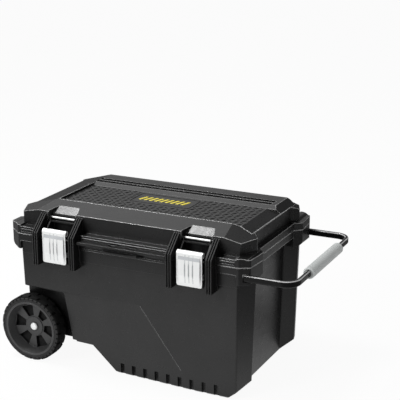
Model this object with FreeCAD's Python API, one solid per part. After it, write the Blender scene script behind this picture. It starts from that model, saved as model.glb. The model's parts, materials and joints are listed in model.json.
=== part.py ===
import FreeCAD, Part
import math
import os

V = FreeCAD.Vector

# Body outline at the parting plane, seen from above
half_length = 306.0
half_depth = 206.0
corner_round = 5.0
lobe_reach = 22.0
lobe_in = 68.0
lobe_half = half_depth - lobe_in
waist_slope = 20.0
waist_half = lobe_half - waist_slope
tub_waist_in = 12.0
lid_waist_out = 4.0
lid_in = 16.0
lid_half_depth = half_depth - lid_in

# Heights and walls
rim_height = 350.0
draft = 8.0
wall = 4.0
floor_thick = 6.0
foot_wall = 7.0
foot_bevel = 6.0
foot_bevel_rise = 5.0
lid_gap = 0.6
overrun = 90.0
reach = 900.0

# Flange on both sides of the parting plane
flange_out = 6.0
flange_corner_out = 4.0
flange_drop = 19.0
flange_rise = 19.0
flange_round = 6.0
pull_shoulder_out = 29.0
pull_shoulder_in = 8.0
pull_shoulder_half = half_depth - pull_shoulder_in
pull_lobe_out = 34.0
pull_lobe_in = 76.0
pull_lobe_half = half_depth - pull_lobe_in
wheel_lobe_out = 44.0
wheel_shoulder_in = 28.0
wheel_shoulder_half = half_depth - wheel_shoulder_in
wheel_lobe_in = 66.0
wheel_lobe_half = half_depth - wheel_lobe_in
flange_waist_out = 16.0
flange_waist_slope = 18.0
band_out = 2.5
band_drop = 52.0

# Corner ears of the flange
pull_ear_drop = 44.0
wheel_ear_drop = 41.0
ear_rise = 23.0
ear_top_round = 25.0
ear_foot_round = 14.0
ear_root = 3.0

# Axle and wheels
axle_in = 20.0
axle_x = -half_length + axle_in
wheel_radius = 89.0
wheel_width = 40.0
wheel_out = 9.0
wheel_outer = half_depth + wheel_out
tyre_thick = 15.0
rim_radius = wheel_radius - tyre_thick
rim_edge = 5.0
rim_mouth = rim_radius - rim_edge
rim_thick = 14.0
rim_inner = rim_radius - rim_thick
web_thick = 12.0
web_in = 24.0
hub_radius = 25.0
hub_in = 22.0
axle_radius = 6.0
axle_run = 0.08
spoke_count = 6
window_tip_share = 0.62
window_gap = 3.0
window_back = 3.0
window_lean = -21.5
tyre_shoulder = 5.0
tread_count = 20
tread_deep = 3.0
tread_width = 7.0
tread_share = 0.36
washer_radius = 16.0
washer_room = 7.0
side_play = 0.5
cap_radius = 10.0
cap_thick = 5.0
cap_round = 2.0

# Wheel recesses and the narrow lower left part
wheel_room = 33.0
well_foot_x = axle_x + wheel_radius + wheel_room
well_lean = 28.0
well_top_x = well_foot_x - well_lean
well_gap = 19.0
well_top = wheel_radius + wheel_radius + well_gap
well_half = wheel_outer - wheel_width - washer_room
ledge_rise = 9.0
ledge_height = well_top + ledge_rise
crease_in = 118.0
crease_foot_x = half_length - crease_in
crease_run = 150.0
crease_top_x = crease_foot_x - crease_run
taper_in = 18.0
wheel_end_out = 9.5

# Underside, seen from the front
foot_end_in = 30.0
foot_end_height = 97.0
step_height = 65.0
step_back = 2.0
step_end = well_foot_x + step_back
step_flat = 51.0
slope_run = 73.0
slope_start = step_end + step_flat + slope_run
box_drop = 21.0
axle_box_height = wheel_radius - box_drop
box_rise = 25.0
axle_box_floor = wheel_radius + box_rise
box_rib_count = 5
box_rib = 6.0

# Comb of notches along the bottom edges
notch_count = 9
notch_start = 16.0
notch_first = slope_start + notch_start
notch_end = 28.4
notch_pitch = (half_length - foot_end_in - notch_end - notch_first) / (notch_count - 1)
notch_width = 12.5
notch_height = 31.0
notch_depth = 8.0

# Inside of the tub
rib_pair_count = 3
rib_pair_first = -128.0
rib_pair_pitch = 139.0
rib_pair_gap = 15.0
rib_thick = 3.0
rib_deep = 4.0
shelf_side = 14.0
shelf_half = waist_half - shelf_side
shelf_deep = 34.0
shelf_top_drop = 30.0
shelf_tall = 26.0
shelf_pockets = 4
shelf_wall = 5.0

# Lid top
end_eave_rise = 60.0
end_eave_height = rim_height + end_eave_rise
back_eave_rise = 1.0
back_eave_height = end_eave_height + back_eave_rise
eave_rise = 3.0
eave_height = end_eave_height + eave_rise
eave_in = 44.0
eave_half = half_length - eave_in
panel_rise = 10.0
panel_height = end_eave_height + panel_rise
lip_rise = 4.0
roof_height = panel_height + lip_rise
bar_rise = 2.0
bar_height = roof_height + bar_rise
ridge_in = 56.0
ridge_half = half_length - ridge_in
ridge_back = 90.0
ridge_front = half_depth - ridge_back
hip_in = 76.0
hip_half = half_depth - hip_in
lid_wall = 3.6
panel_in = 7.0
panel_half = ridge_half - panel_in
panel_lip = 3.0
end_crease_in = 35.0
end_crease_half = half_length - end_crease_in
bar_in = 56.0
bar_back = half_depth - bar_in
bar_wide = 82.0
bar_front = bar_back - bar_wide
bar_slope = 16.0
bar_foot = bar_front - bar_slope
bar_end_in = 18.0
bar_end_x = half_length - bar_end_in
bar_hip_in = 28.0
groove_in = 2.0
groove_half = ridge_half - groove_in
groove_width = 13.0
groove_deep = 4.5
groove_lean = 1.5
groove_end_in = 14.0
groove_start = 11.5
groove_first = bar_front + groove_start
groove_pitch = 21.0

# Lattice of ribs under the lid
lattice_count = 6
lattice_pitch = 108.0
lattice_lean = 92.0
lattice_thick = 2.2
lattice_deep = 13.0
cross_rib_x = 112.0
long_rib_y = 66.0
boss_half_x = 62.0
boss_half_y = 34.0

# Latches
latch_in = 116.0
latch_x = half_length - latch_in
plate_half = 34.0
fin_pitch = 6.2
fin_thick = 3.0
fin_count = 3
fin_room = 13.3
bracket_off = plate_half + fin_room + fin_pitch
bracket_out = 31.0
fin_drop = 69.0
fin_bottom = rim_height - fin_drop
fin_shoulder = 16.0
fin_rise = 57.0
fin_top = rim_height + fin_rise
fin_top_out = 1.5
plate_rise = 29.0
plate_top = rim_height + plate_rise
plate_drop = 59.0
plate_bottom = rim_height - plate_drop
plate_thick = 2.0
plate_front_out = 25.0
plate_round = 5.0
plate_bow = 3.0
bow_run = 28.0
flute_count = 3
flute_pitch = 10.5
flute_half = 1.6
flute_deep = 1.4
flute_foot = 10.0
flute_head = 20.0
latch_pin_radius = 3.0
knuckle_run = 0.05
post_off = 22.0
post_half = 4.0
post_wall = 1.6
post_radius = latch_pin_radius + post_wall
post_gap = 0.8
post_foot_rise = 16.0
hook_pin_radius = 2.6
hook_gap = 0.8
hook_thick = 3.0
hook_half = 4.0
hook_knee_out = 12.0
hook_pivot_drop = 55.0
strike_rise = 46.0
strike_height = rim_height + strike_rise
strike_in = 26.0
strike_radius = 2.5
strike_seat = 3.0
cheek_deep = 15.0
cheek_half_tall = 6.0
pocket_side = 3.6
pocket_half = plate_half + hook_gap + hook_thick + pocket_side
pocket_back_in = 35.0
pocket_slope_rise = 54.0
pocket_slope_height = rim_height + pocket_slope_rise
pocket_slope_in = 62.0
pocket_wall = 4.0
pocket_taper_in = 24.0
pocket_top_half = 27.0

# Padlock tabs at the front
tab_half = 62.0
tab_taper = 14.0
tab_out = 22.0
tab_thick = 8.0
tab_gap_tall = 5.0
tab_gap_deep = 5.0
lip_side = 66.0
lip_half = latch_x - lip_side
lip_out = 18.0
lip_thick = 7.0
slot_x = 26.0
slot_half = 13.0
slot_half_deep = 4.0
slot_out = 7.0

# Hinge along the back
hinge_out = 13.0
knuckle_radius = 8.0
knuckle_count = 7
knuckle_length = 20.0
knuckle_gap = 1.5
hinge_pin_radius = 3.0
hinge_run = 0.08
hinge_clear = 1.0

# Pull handle
leg_drop = 26.0
leg_height = rim_height - leg_drop
leg_wide = 10.0
leg_tall = 17.0
leg_round = 4.0
channel_clear = 0.8
band_skin = 2.2
leg_y = half_depth + band_out - band_skin - leg_wide / 2 - channel_clear
leg_hidden = 110.0
leg_in = half_length - leg_hidden
bar_out = 140.0
bar_x = half_length + bar_out
bend_radius = 34.0
slide_travel = 70.0
sleeve_wall = 3.5
sleeve_end_gap = 5.0
collar_in = 12.0
collar_length = 20.0
collar_run = 0.3
plug_length = 14.0
plug_head = 3.0
tube_wall = 2.0
grip_half = 106.0
grip_radius = 14.5
grip_round = 3.0

# Tray
tray_in = 126.0
tray_x = -half_length + tray_in
tray_half_x = 106.0
tray_side = 11.0
tray_half_y = half_depth - tray_side
tray_end_half = 34.0
tray_corner_x = 80.0
tray_corner_in = 15.0
tray_corner_end_y = tray_half_y - tray_corner_in
tray_corner_run = 34.0
tray_corner_y = tray_corner_end_y - tray_corner_run
tray_waist_in = 8.0
tray_waist_y = 70.0
tray_round = 12.0
tray_draft = 6.0
tray_wall = 3.5
tray_height = 104.0
divider_x = 36.0
end_bin = 91.0
cross_wall_y = tray_half_y - end_bin
handle_bar_half = 12.0
handle_bar_thick = 14.0
handle_rise = 16.0


def flat(u, v):
    """Place a plan point."""
    return V(u, v, 0)


def upright(u, v):
    """Place a point of a view from the front."""
    return V(u, 0, v)


def sideways(u, v):
    """Place a point of a view from the end."""
    return V(0, u, v)


def rounded_wire(points, radius, place):
    """Closed wire through the points with every corner rounded."""
    count = len(points)
    corners = []
    for i in range(count):
        here = V(points[i][0], points[i][1], 0)
        back = V(points[i - 1][0], points[i - 1][1], 0) - here
        ahead = V(points[(i + 1) % count][0], points[(i + 1) % count][1], 0) - here
        back.normalize()
        ahead.normalize()
        half = back.getAngle(ahead) / 2
        middle = back + ahead
        middle.normalize()
        first = here + back * (radius / math.tan(half))
        last = here + ahead * (radius / math.tan(half))
        top = here + middle * (radius / math.sin(half) - radius)
        corners.append((first, top, last))
    edges = []
    for i in range(count):
        first, top, last = corners[i]
        following = corners[(i + 1) % count][0]
        arc = [place(p.x, p.y) for p in (first, top, last)]
        edges.append(Part.Arc(arc[0], arc[1], arc[2]).toShape())
        edges.append(Part.makeLine(arc[2], place(following.x, following.y)))
    return Part.Wire(edges)


def sharp_wire(points, place):
    """Closed wire of straight lines through the points."""
    corners = [place(u, v) for u, v in points]
    return Part.makePolygon(corners + corners[:1])


def outline_wire(points, radius, place):
    """Rounded or sharp wire, as the radius says."""
    if radius > 0:
        return rounded_wire(points, radius, place)
    return sharp_wire(points, place)


def prism(points, low, high, radius=0):
    """Plan outline drawn up from one height to another."""
    face = Part.Face(outline_wire(points, radius, flat))
    face.translate(V(0, 0, low))
    return face.extrude(V(0, 0, high - low))


def front_prism(points, near, far, radius=0):
    """Outline seen from the front, drawn back along Y."""
    face = Part.Face(outline_wire(points, radius, upright))
    face.translate(V(0, near, 0))
    return face.extrude(V(0, far - near, 0))


def end_prism(points, left, right, radius=0):
    """Outline seen from the end, drawn along X."""
    face = Part.Face(outline_wire(points, radius, sideways))
    face.translate(V(left, 0, 0))
    return face.extrude(V(right - left, 0, 0))


def drawn(low_points, low, high_points, high, radius):
    """Drafted solid between two plan outlines."""
    foot = outline_wire(low_points, radius, flat)
    foot.translate(V(0, 0, low))
    head = outline_wire(high_points, radius, flat)
    head.translate(V(0, 0, high))
    return Part.makeLoft([foot, head], True, True)


def block(left, right, near, far, low, high):
    """Box between six planes."""
    return Part.makeBox(right - left, far - near, high - low, V(left, near, low))


def rod_x(radius, left, right, y, z):
    """Round bar along X."""
    return Part.makeCylinder(radius, right - left, V(left, y, z), V(1, 0, 0))


def rod_y(radius, near, far, x, z):
    """Round bar along Y."""
    return Part.makeCylinder(radius, far - near, V(x, near, z), V(0, 1, 0))


def joined(shapes):
    """One solid of several that touch."""
    return shapes[0].multiFuse(shapes[1:]).removeSplitter()


def mirrored(shape):
    """The same shape on the other side of the middle plane along X."""
    return shape.mirror(V(0, 0, 0), V(0, 1, 0))


def above_plane(a, b, c):
    """Everything on the upper side of the plane through three points."""
    normal = (b - a).cross(c - a)
    normal.normalize()
    if normal.z < 0:
        normal = normal * -1
    along = (b - a).normalize()
    across = normal.cross(along)
    signs = ((-1, -1), (1, -1), (1, 1), (-1, 1))
    corners = [a + along * (s * reach) + across * (t * reach) for s, t in signs]
    return Part.Face(Part.makePolygon(corners + corners[:1])).extrude(normal * reach)


def mirrored_ends(right, left):
    """Closed plan outline from the front quarter of each end."""
    points = [(x, -y) for x, y in right]
    points += [(x, y) for x, y in reversed(right)]
    points += [(-x, y) for x, y in left]
    points += [(-x, -y) for x, y in reversed(left)]
    return points


def moved_in(points, distance):
    """Closed outline with every side moved inward by the same distance."""
    count = len(points)
    corners = [V(u, v, 0) for u, v in points]
    normals = []
    for i in range(count):
        run = corners[(i + 1) % count] - corners[i]
        run.normalize()
        normals.append(V(run.y, -run.x, 0))
    found = []
    for i in range(count):
        both = normals[i - 1] + normals[i]
        shift = both * (distance / (1 + normals[i - 1].dot(normals[i])))
        found.append((corners[i].x - shift.x, corners[i].y - shift.y))
    return found


def body_outline(inset, waist_x, depth):
    """Plan outline of the body, moved inward all round."""
    quarter = [
        (half_length, depth),
        (half_length + lobe_reach, lobe_half),
        (waist_x, waist_half),
    ]
    return moved_in(mirrored_ends(quarter, quarter), inset)


def tub_outline(inset):
    """Plan outline of the tub's wall."""
    return body_outline(inset, half_length - tub_waist_in, half_depth)


def lid_outline(inset):
    """Plan outline of the lid's wall."""
    return body_outline(inset, half_length + lid_waist_out, lid_half_depth)


def flange_outline():
    """Plan outline of the flange, with its larger lobes."""
    corner = (half_length + flange_corner_out, half_depth + flange_out)
    waist_x = half_length + flange_waist_out
    pull = [
        corner,
        (half_length + pull_shoulder_out, pull_shoulder_half),
        (half_length + pull_lobe_out, pull_lobe_half),
        (waist_x, pull_lobe_half - flange_waist_slope),
    ]
    wheel = [
        corner,
        (half_length + wheel_lobe_out, wheel_shoulder_half),
        (half_length + wheel_lobe_out, wheel_lobe_half),
        (waist_x, wheel_lobe_half - flange_waist_slope),
    ]
    return mirrored_ends(pull, wheel)


def ears(pull, wheel, radius, upward):
    """Corner lobes of the flange between two heights at each end, rounded at the outer top or foot."""
    found = []
    ends = (
        (1, pull, pull_lobe_out, pull_lobe_half - flange_waist_slope),
        (-1, wheel, wheel_lobe_out, wheel_lobe_half - flange_waist_slope),
    )
    for sign, heights, out, half in ends:
        low, high = heights
        slab = prism(flange_outline(), low, high, flange_round)
        profile_low = low - radius if upward else low
        profile_high = high if upward else high + radius
        inner = sign * (half_length - ear_root)
        outer = sign * (half_length + out)
        deep = sign * (half_length - overrun)
        profile = [(deep, profile_low), (outer, profile_low), (outer, profile_high), (deep, profile_high)]
        side = front_prism(profile, -reach, reach, radius)
        left, right = min(inner, outer), max(inner, outer)
        for near, far in ((-reach, -half), (half, reach)):
            found.append(slab.common(block(left, right, near, far, low, high)).common(side))
    return found


def side_profile():
    """Outer profile of the tub seen from the front, open at the top."""
    far = half_length + overrun
    return [
        (far, rim_height + overrun),
        (far, foot_end_height),
        (half_length - foot_end_in, 0),
        (slope_start, 0),
        (slope_start - slope_run, step_height),
        (step_end, step_height),
        (step_end, axle_box_height),
        (-far, axle_box_height),
        (-far, rim_height + overrun),
    ]


def inner_profile():
    """Profile of the tub's inside seen from the front."""
    far = half_length + overrun
    slope_share = (axle_box_floor - floor_thick) / step_height
    start = slope_start + wall
    return [
        (far, rim_height + overrun),
        (far, foot_end_height + wall),
        (half_length - foot_end_in - wall, floor_thick),
        (start, floor_thick),
        (start - slope_run * slope_share, axle_box_floor),
        (-far, axle_box_floor),
        (-far, rim_height + overrun),
    ]


def wall_y(height):
    """Distance of the tub's long wall from the middle at a height."""
    return half_depth - draft * (rim_height - height) / rim_height


def taper_slope():
    """How far the lower front wall leans in for each length along X."""
    return taper_in / (half_length + crease_top_x)


def foot_line(height, sink):
    """Plan region outside the front wall at a height, moved inward by the sink."""
    far = half_length + overrun
    crease = crease_foot_x + (crease_top_x - crease_foot_x) * height / ledge_height
    edge = -wall_y(height) + sink
    lean = taper_slope() * (crease + far)
    return [(far, edge), (crease, edge), (-far, edge + lean), (-far, -reach), (far, -reach)]


def foot_space(low_sink, high_sink, high):
    """Space outside the foot of the front wall up to a height."""
    return drawn(foot_line(0, low_sink), 0, foot_line(high, high_sink), high, 0)


def taper_wedge(sink, lift):
    """Space outside the front wall that narrows toward the wheel end, below the ledge."""
    far = half_length + overrun
    slope = taper_slope()
    levels = []
    for x, height in ((crease_foot_x, 0), (crease_top_x, ledge_height + lift)):
        edge = -wall_y(height) + sink
        levels.append([(x, edge), (-far, edge + slope * (x + far)), (-far, -reach), (x, -reach)])
    return drawn(levels[0], 0, levels[1], ledge_height + lift, 0)


def wheel_well(inward):
    """Space for one wheel at the front."""
    far = half_length + overrun
    points = [
        (well_top_x + inward, well_top + inward),
        (well_foot_x + inward, -inward),
        (-far, -inward),
        (-far, well_top + inward),
    ]
    return front_prism(points, -reach, -well_half + inward)


def end_step(inward):
    """Space at the wheel end below the ledge."""
    far = half_length + overrun
    edge = -half_length - wheel_end_out + inward
    return block(-far, edge, -reach, reach, 0, ledge_height + inward)


def lower_cuts(inward):
    """All spaces that narrow the lower part of the tub."""
    found = [end_step(inward)]
    for tool in (taper_wedge(inward, inward), wheel_well(inward)):
        found += [tool, mirrored(tool)]
    return found


def tub_cavity():
    """Inside of the tub, with thicker walls along its foot."""
    inner = drawn(tub_outline(draft + wall), 0, tub_outline(wall), rim_height, 0)
    inner = inner.common(front_prism(inner_profile(), -reach, reach))
    thick = wall + foot_wall
    strip = foot_space(thick, thick, notch_height + foot_wall)
    for tool in lower_cuts(wall) + [strip, mirrored(strip)]:
        inner = inner.cut(tool)
    mouth = prism(tub_outline(wall), rim_height - flange_drop, rim_height + overrun)
    return inner.fuse(mouth)


def notch_tools():
    """Slots of the comb along the front bottom edge."""
    found = []
    for i in range(notch_count):
        x = notch_first + i * notch_pitch
        half = notch_width / 2
        points = [
            (x - half, -notch_height),
            (x + half, -notch_height),
            (x + half, notch_height),
            (x - half, notch_height),
        ]
        back = -wall_y(0) + taper_slope() * max(crease_foot_x - x, 0) + notch_depth
        found.append(front_prism(points, -reach, back))
    return found


def box_pockets():
    """Hollows under the axle box, between its ribs."""
    span = well_half - wall
    pitch = (span + span - box_rib) / box_rib_count
    found = []
    for i in range(box_rib_count):
        near = -span + box_rib + i * pitch
        left = -half_length - wheel_end_out + box_rib
        right = step_end - box_rib
        found.append(block(left, right, near, near + pitch - box_rib, 0, axle_box_floor - wall))
    return found


def tub_ribs():
    """Pairs of upright ribs on the inner face of the back wall."""
    found = []
    for i in range(rib_pair_count):
        for side in (-1, 1):
            x = rib_pair_first + i * rib_pair_pitch + side * rib_pair_gap / 2
            low = axle_box_floor
            foot = wall_y(low) - wall - rib_deep
            head = half_depth - wall / 2
            top = rim_height - flange_drop
            points = [(foot, low), (head - draft, low), (head, top), (head - wall / 2 - rib_deep, top)]
            found.append(end_prism(points, x - rib_thick / 2, x + rib_thick / 2))
    return found


def shelf():
    """Shelf with open pockets inside the handle end."""
    outer = half_length - tub_waist_in - wall / 2
    inner = outer - shelf_deep
    top = rim_height - shelf_top_drop
    slab = block(inner, outer, -shelf_half, shelf_half, top - shelf_tall, top)
    pitch = (shelf_half + shelf_half - shelf_wall) / shelf_pockets
    for i in range(shelf_pockets):
        near = -shelf_half + shelf_wall + i * pitch
        hole = block(
            inner + shelf_wall, outer - shelf_wall - wall, near, near + pitch - shelf_wall,
            top - shelf_tall + shelf_wall, rim_height,
        )
        slab = slab.cut(hole)
    return slab


def channel_half_wide():
    """Half width of the handle leg's channel."""
    return leg_wide / 2 + channel_clear


def channel_half_tall():
    """Half height of the handle leg's channel."""
    return leg_tall / 2 + channel_clear


def channel_start():
    """Inner end of the handle leg's channel."""
    return leg_in - slide_travel - plug_head - sleeve_end_gap


def sleeve():
    """Box on the inner face of the front wall that carries one handle leg."""
    wide = channel_half_wide() + sleeve_wall
    tall = channel_half_tall() + sleeve_wall
    left = channel_start() - sleeve_wall
    right = half_length + ear_root
    near = -leg_y - channel_half_wide()
    return block(left, right, near, -leg_y + wide, leg_height - tall, leg_height + tall)


def channel():
    """Hollow in which one handle leg slides."""
    return block(
        channel_start(), half_length + overrun,
        -leg_y - channel_half_wide(), -leg_y + channel_half_wide(),
        leg_height - channel_half_tall(), leg_height + channel_half_tall(),
    )


def fin_places():
    """X of every fin of the four latch brackets."""
    found = []
    for centre in (-latch_x, latch_x):
        for side in (-1, 1):
            for k in range(fin_count):
                offset = (k - (fin_count - 1) / 2) * fin_pitch
                found.append(centre + side * bracket_off + offset)
    return found


def fins(points):
    """One upright fin at every place."""
    half = fin_thick / 2
    return [end_prism(points, x - half, x + half) for x in fin_places()]


def tub_fin_points():
    """Outline of a tub fin seen from the end."""
    root = -half_depth + wall / 2
    front = -half_depth - bracket_out
    top = rim_height - lid_gap
    return [(root, fin_bottom), (front, fin_bottom), (front, top), (root, top)]


def lid_fin_points():
    """Outline of a lid fin seen from the end."""
    root = -lid_half_depth + lid_wall / 2
    front = -half_depth - bracket_out
    low = rim_height + lid_gap
    return [
        (root, low), (front, low), (front, low + fin_shoulder),
        (-lid_half_depth - fin_top_out, fin_top), (root, fin_top),
    ]


def plate_back():
    """Y of the back of the latch plates."""
    return -half_depth - plate_front_out + plate_thick


def roll_radius():
    """Outer radius of the plate's rolled edge."""
    return post_radius + post_gap + plate_thick


def pin_y():
    """Y of the latch pins."""
    return plate_back() + post_radius + post_gap


def pin_z():
    """Height of the latch pins."""
    return plate_top - roll_radius()


def posts():
    """Arms behind each latch plate that hold its pin."""
    root = -half_depth + wall / 2
    front = pin_y() - post_radius
    back = pin_y() + post_radius
    low = rim_height - lid_gap
    points = [
        (root, fin_bottom), (front, fin_bottom + post_foot_rise), (front, pin_z()),
        (back, pin_z()), (back, low), (root, low),
    ]
    found = []
    for centre in (-latch_x, latch_x):
        for side in (-1, 1):
            middle = centre + side * post_off
            left = middle - post_half
            right = middle + post_half
            arm = end_prism(points, left, right).fuse(rod_x(post_radius, left, right, pin_y(), pin_z()))
            found.append(arm.cut(rod_x(latch_pin_radius, left, right, pin_y(), pin_z())))
    return found


def slot_tools():
    """Two padlock slots through both tabs."""
    middle = -half_depth - flange_out - slot_out
    found = []
    for side in (-1, 1):
        x = side * slot_x
        points = [
            (x - slot_half, middle - slot_half_deep), (x + slot_half, middle - slot_half_deep),
            (x + slot_half, middle + slot_half_deep), (x - slot_half, middle + slot_half_deep),
        ]
        low = rim_height - overrun
        high = rim_height + overrun
        found.append(prism(points, low, high, slot_half_deep - lid_gap))
    return found


def tub_tab():
    """Padlock tab under the tub's front flange."""
    root = -half_depth
    front = -half_depth - flange_out - tab_out
    tip = tab_half - tab_taper
    points = [(-tab_half, root), (-tip, front), (tip, front), (tab_half, root)]
    return prism(points, rim_height - tab_thick, rim_height)


def tab_gap():
    """Groove in the flange under the padlock tab."""
    half = tab_half - tab_taper / 2
    high = rim_height - tab_thick
    front = -half_depth - flange_out
    return block(-half, half, front - overrun, front + tab_gap_deep, high - tab_gap_tall, high)


def lid_lip():
    """Padlock lip on the lid's front flange."""
    root = -half_depth
    front = -half_depth - flange_out - lip_out
    points = [(-lip_half, root), (-lip_half, front), (lip_half, front), (lip_half, root)]
    low = rim_height + lid_gap
    return prism(points, low, low + lip_thick, lid_gap)


def hinge_y():
    """Y of the hinge pin."""
    return half_depth + hinge_out


def hinge_spans(odd):
    """Ends of the knuckles of one leaf along X."""
    total = knuckle_count + knuckle_count - 1
    start = -total * knuckle_length / 2
    found = []
    for i in range(total):
        if (i % 2 == 1) == odd:
            left = start + i * knuckle_length
            found.append((left + knuckle_gap, left + knuckle_length - knuckle_gap))
    return found


def hinge_room():
    """Space round the hinge kept free of both flanges."""
    half = (knuckle_count + knuckle_count) * knuckle_length / 2
    return rod_x(knuckle_radius + hinge_clear, -half, half, hinge_y(), rim_height)


def knuckles(odd, low, high):
    """Knuckles of one leaf with the webs that carry them."""
    bore = hinge_pin_radius
    if odd:
        bore += hinge_run
    found = []
    for left, right in hinge_spans(odd):
        barrel = rod_x(knuckle_radius, left, right, hinge_y(), rim_height)
        web = block(left, right, half_depth - wall / 2, hinge_y(), low, high)
        hole = rod_x(bore, left, right, hinge_y(), rim_height)
        found.append(barrel.fuse(web).cut(hole))
    return found


def rim_band():
    """Slightly thicker strip of the front wall over the handle's channel."""
    low = rim_height - band_drop
    high = rim_height - flange_drop
    start = -half_length + corner_round
    strip = prism(tub_outline(-band_out), low, high, corner_round)
    return strip.common(block(start, reach, -reach, -half_depth + wall / 2, low, high))


def tub_shell():
    """Hollow body of the tub with its flange and ears."""
    body = drawn(tub_outline(draft), 0, tub_outline(0), rim_height, corner_round)
    body = body.common(front_prism(side_profile(), -reach, reach))
    body = body.fuse(block(
        -half_length - wheel_end_out, axle_x, -well_half, well_half, axle_box_height, axle_box_floor
    ))
    bevel = foot_space(foot_bevel, 0, foot_bevel_rise)
    for tool in lower_cuts(0) + [bevel, mirrored(bevel)]:
        body = body.cut(tool)
    flange = prism(flange_outline(), rim_height - flange_drop, rim_height, flange_round)
    pull = (rim_height - pull_ear_drop, rim_height)
    wheel = (rim_height - wheel_ear_drop, rim_height)
    outside = [body, flange, rim_band(), mirrored(rim_band())] + ears(pull, wheel, ear_foot_round, False)
    return joined(outside).cut(tub_cavity())


def make_tub():
    """Chest body with brackets, sleeves, shelf and hinge knuckles."""
    shell = tub_shell().cut(hinge_room())
    inside = tub_ribs() + [shelf(), sleeve(), mirrored(sleeve())]
    front = fins(tub_fin_points()) + posts() + [tub_tab()]
    back = knuckles(False, rim_height - flange_drop, rim_height - lid_gap)
    shell = joined([shell] + inside + front + back)
    cuts = [channel(), mirrored(channel()), tab_gap()] + slot_tools() + box_pockets()
    for tool in notch_tools():
        cuts += [tool, mirrored(tool)]
    cuts.append(rod_y(axle_radius, -reach, reach, axle_x, wheel_radius))
    return shell.cut(cuts)


def roof_form(inset, drop, low, high):
    """Lid body between two heights with its sloped faces; inset and lowered for the inside."""
    form = prism(lid_outline(inset), low, high, corner_round)
    down = V(0, 0, -drop)
    eaves = ((-1, ridge_front, eave_height), (1, bar_back, back_eave_height))
    planes = []
    for y, z, top_y, top_z in (
        (-lid_half_depth, eave_height, -ridge_front, roof_height),
        (lid_half_depth, back_eave_height, bar_back, bar_height),
    ):
        planes.append((V(0, y, z), V(half_length, y, z), V(0, top_y, top_z)))
    for end, top_half, top in ((-1, ridge_half, roof_height), (1, end_crease_half, panel_height)):
        outer = end * (half_length + lid_waist_out)
        planes.append((
            V(end * top_half, 0, top), V(end * top_half, half_depth, top), V(outer, 0, end_eave_height),
        ))
        for side, ridge_y, eave in eaves:
            planes.append((
                V(end * ridge_half, side * ridge_y, roof_height),
                V(end * eave_half, side * lid_half_depth, eave),
                V(outer, side * hip_half, end_eave_height),
            ))
    for a, b, c in planes:
        form = form.cut(above_plane(a + down, b + down, c + down))
    return form


def bar_end():
    """Pull end of the back bar, standing above the lid's end slope."""
    far = half_length + lid_waist_out
    low = end_eave_height - lid_wall
    points = [
        (bar_foot, low), (bar_foot, panel_height), (bar_front, bar_height), (bar_back, bar_height),
        (lid_half_depth, back_eave_height), (lid_half_depth, low),
    ]
    solid = end_prism(points, panel_half, far).common(prism(lid_outline(0), low, bar_height, corner_round))
    top = V(bar_end_x, bar_back, bar_height)
    eave = V(half_length - bar_hip_in, lid_half_depth, back_eave_height)
    foot = V(far, bar_back, end_eave_height)
    return solid.cut([above_plane(top, V(bar_end_x, 0, bar_height), foot), above_plane(top, eave, foot)])


def panel_tools():
    """Sunken panel in front of the lid's back bar, and the two long grooves of the bar."""
    front = -ridge_front + panel_lip
    top = bar_height + overrun
    points = [
        (front, panel_height), (bar_foot, panel_height), (bar_front, bar_height),
        (bar_front, top), (front, top),
    ]
    found = [end_prism(points, -panel_half, reach)]
    half = groove_width / 2
    low = bar_height - groove_deep
    for y in (groove_first, groove_first + groove_pitch):
        groove = [(y + half - groove_lean, low), (y + half, bar_height), (y - half, bar_height)]
        found.append(end_prism(groove, -groove_half, bar_end_x - groove_end_in))
    return found


def latch_pocket(grow):
    """Space in the lid's front above one latch; grown for the wall that lines it."""
    back = -half_depth + pocket_back_in
    points = [
        (-reach, rim_height - overrun), (back, rim_height - overrun), (back, pocket_slope_height),
        (-half_depth + pocket_slope_in, roof_height), (-reach, roof_height),
    ]
    taper_y = -half_depth + pocket_taper_in
    top_y = -half_depth + pocket_slope_in
    plan = [
        (-pocket_half, -reach), (pocket_half, -reach), (pocket_half, taper_y), (pocket_top_half, top_y),
        (-pocket_top_half, top_y), (-pocket_half, taper_y),
    ]
    sides = prism(moved_in(plan, -grow), rim_height - overrun, roof_height + overrun)
    return end_prism(moved_in(points, -grow), -reach, reach).common(sides)


def lattice(cavity):
    """Crossed ribs, two cross ribs, a long rib and a middle boss under the lid's top."""
    low = panel_height - lid_wall - lattice_deep
    high = roof_height + overrun
    half = lattice_thick / 2
    lean = lattice_lean + lattice_lean
    depth = half_depth
    strips = []
    for i in range(lattice_count + 1):
        x = (i - lattice_count / 2) * lattice_pitch
        for side in (-1, 1):
            foot, head = x - side * lean, x + side * lean
            strips.append([
                (foot - half, -depth), (foot + half, -depth), (head + half, depth), (head - half, depth),
            ])
    for x in (-cross_rib_x, cross_rib_x):
        strips.append([(x - half, -depth), (x + half, -depth), (x + half, depth), (x - half, depth)])
    far = half_length + lobe_reach
    near_y, far_y = long_rib_y - half, long_rib_y + half
    strips.append([(-far, near_y), (far, near_y), (far, far_y), (-far, far_y)])
    signs = ((-1, -1), (1, -1), (1, 1), (-1, 1))
    strips.append([(s * boss_half_x, t * boss_half_y) for s, t in signs])
    ribs = [prism(points, low, high) for points in strips]
    return ribs[0].multiFuse(ribs[1:]).common(cavity)


def lid_cavity(low):
    """Inside of the lid, less the walls that line the latch pockets."""
    top = panel_height - lid_wall
    cavity = roof_form(lid_wall, lid_wall, low, top)
    mouth = body_outline(lid_wall, half_length + lid_waist_out, half_depth)
    cavity = cavity.fuse(prism(mouth, rim_height - overrun, low + flange_rise - lid_wall))
    for x in (-latch_x, latch_x):
        liner = latch_pocket(pocket_wall)
        liner.translate(V(x, 0, 0))
        cavity = cavity.cut(liner)
    return cavity


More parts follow.
